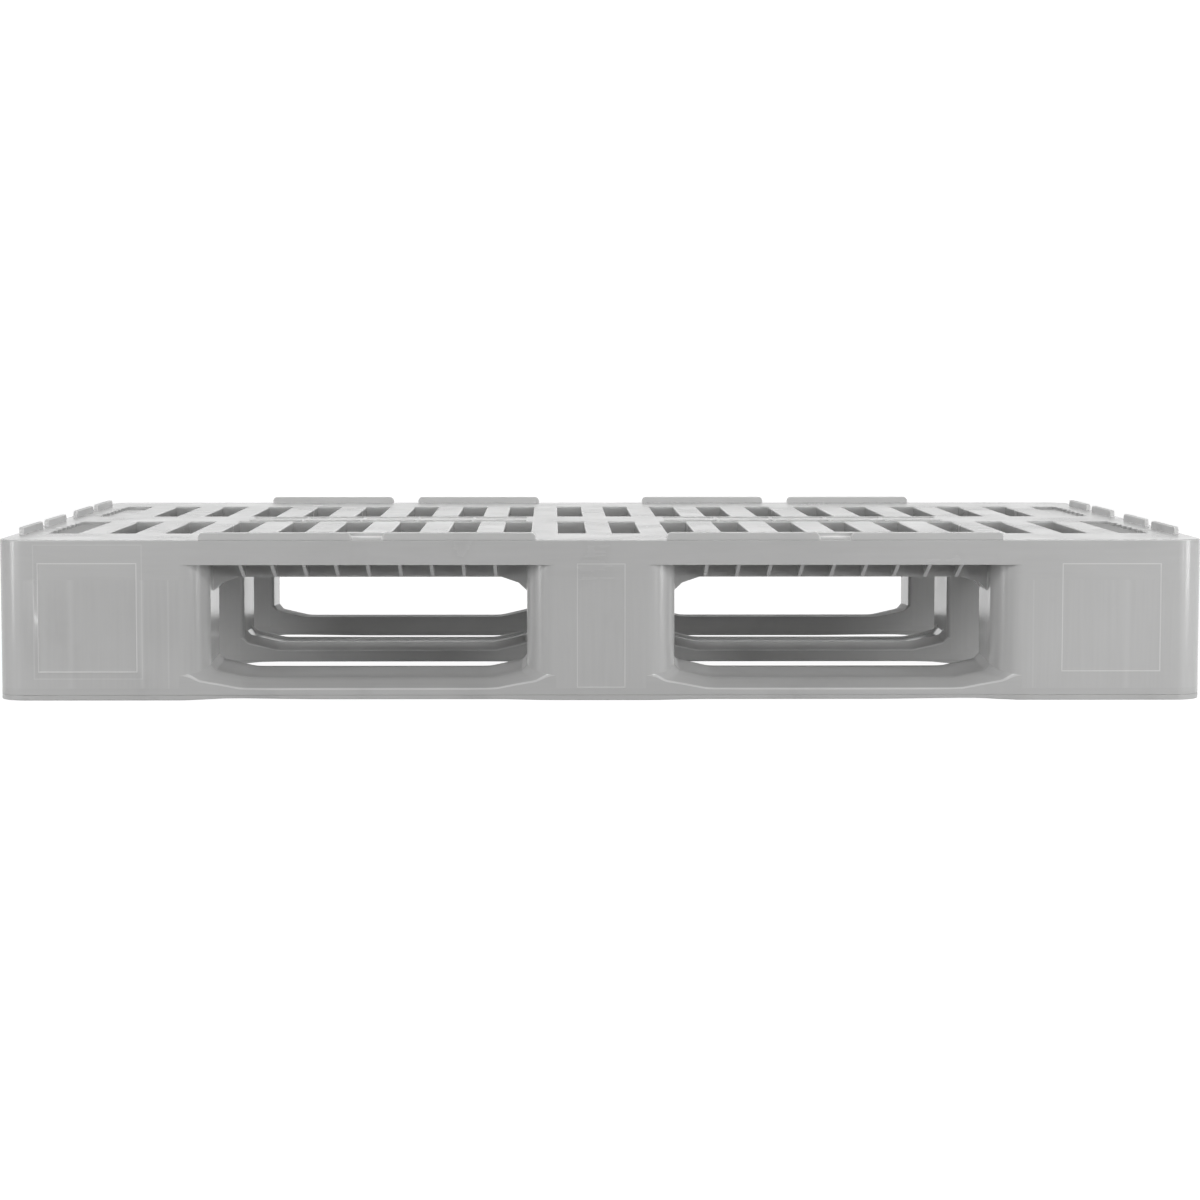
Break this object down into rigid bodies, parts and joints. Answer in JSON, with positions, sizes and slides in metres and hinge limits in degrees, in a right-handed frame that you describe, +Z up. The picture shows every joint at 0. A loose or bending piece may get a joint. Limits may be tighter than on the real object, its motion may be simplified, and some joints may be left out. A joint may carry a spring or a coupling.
{
  "type": "plastic pallet",
  "caption": "Grey moulded plastic pallet with a slotted deck, hollow feet and three bottom runners, open to forks from all four sides.",
  "frame": {"origin": "on the floor under the middle of the pallet", "axes": "+X along the long side to the right, +Y from the front long side to the rear one, +Z up"},
  "size_m": [1.2, 0.8, 0.1675],
  "materials": {
    "deck_plastic": "satin moulded polyethylene, light grey",
    "foot_plastic": "satin moulded polyethylene, light grey",
    "runner_plastic": "satin moulded polyethylene, light grey",
    "sole_plastic": "satin moulded polyethylene, light grey, scuffed underneath",
    "stop_plastic": "satin moulded polyethylene, light grey"
  },
  "bodies": {
    "root": {"deck_grid": "deck_plastic", "foot_front_left": "foot_plastic", "foot_front_centre": "foot_plastic", "foot_front_right": "foot_plastic", "foot_middle_left": "foot_plastic", "foot_middle_centre": "foot_plastic", "foot_middle_right": "foot_plastic", "foot_rear_left": "foot_plastic", "foot_rear_centre": "foot_plastic", "foot_rear_right": "foot_plastic", "runner_front": "runner_plastic", "runner_middle": "runner_plastic", "runner_rear": "runner_plastic", "sole_front": "sole_plastic", "sole_middle": "sole_plastic", "sole_rear": "sole_plastic", "stop_front_1": "stop_plastic", "stop_front_2": "stop_plastic", "stop_front_3": "stop_plastic", "stop_front_4": "stop_plastic", "stop_rear_1": "stop_plastic", "stop_rear_2": "stop_plastic", "stop_rear_3": "stop_plastic", "stop_rear_4": "stop_plastic", "stop_left_1": "stop_plastic", "stop_left_2": "stop_plastic", "stop_left_3": "stop_plastic", "stop_left_4": "stop_plastic", "stop_right_1": "stop_plastic", "stop_right_2": "stop_plastic", "stop_right_3": "stop_plastic", "stop_right_4": "stop_plastic", "bridge_left": "stop_plastic", "bridge_right": "stop_plastic"}
  },
  "joints": []
}
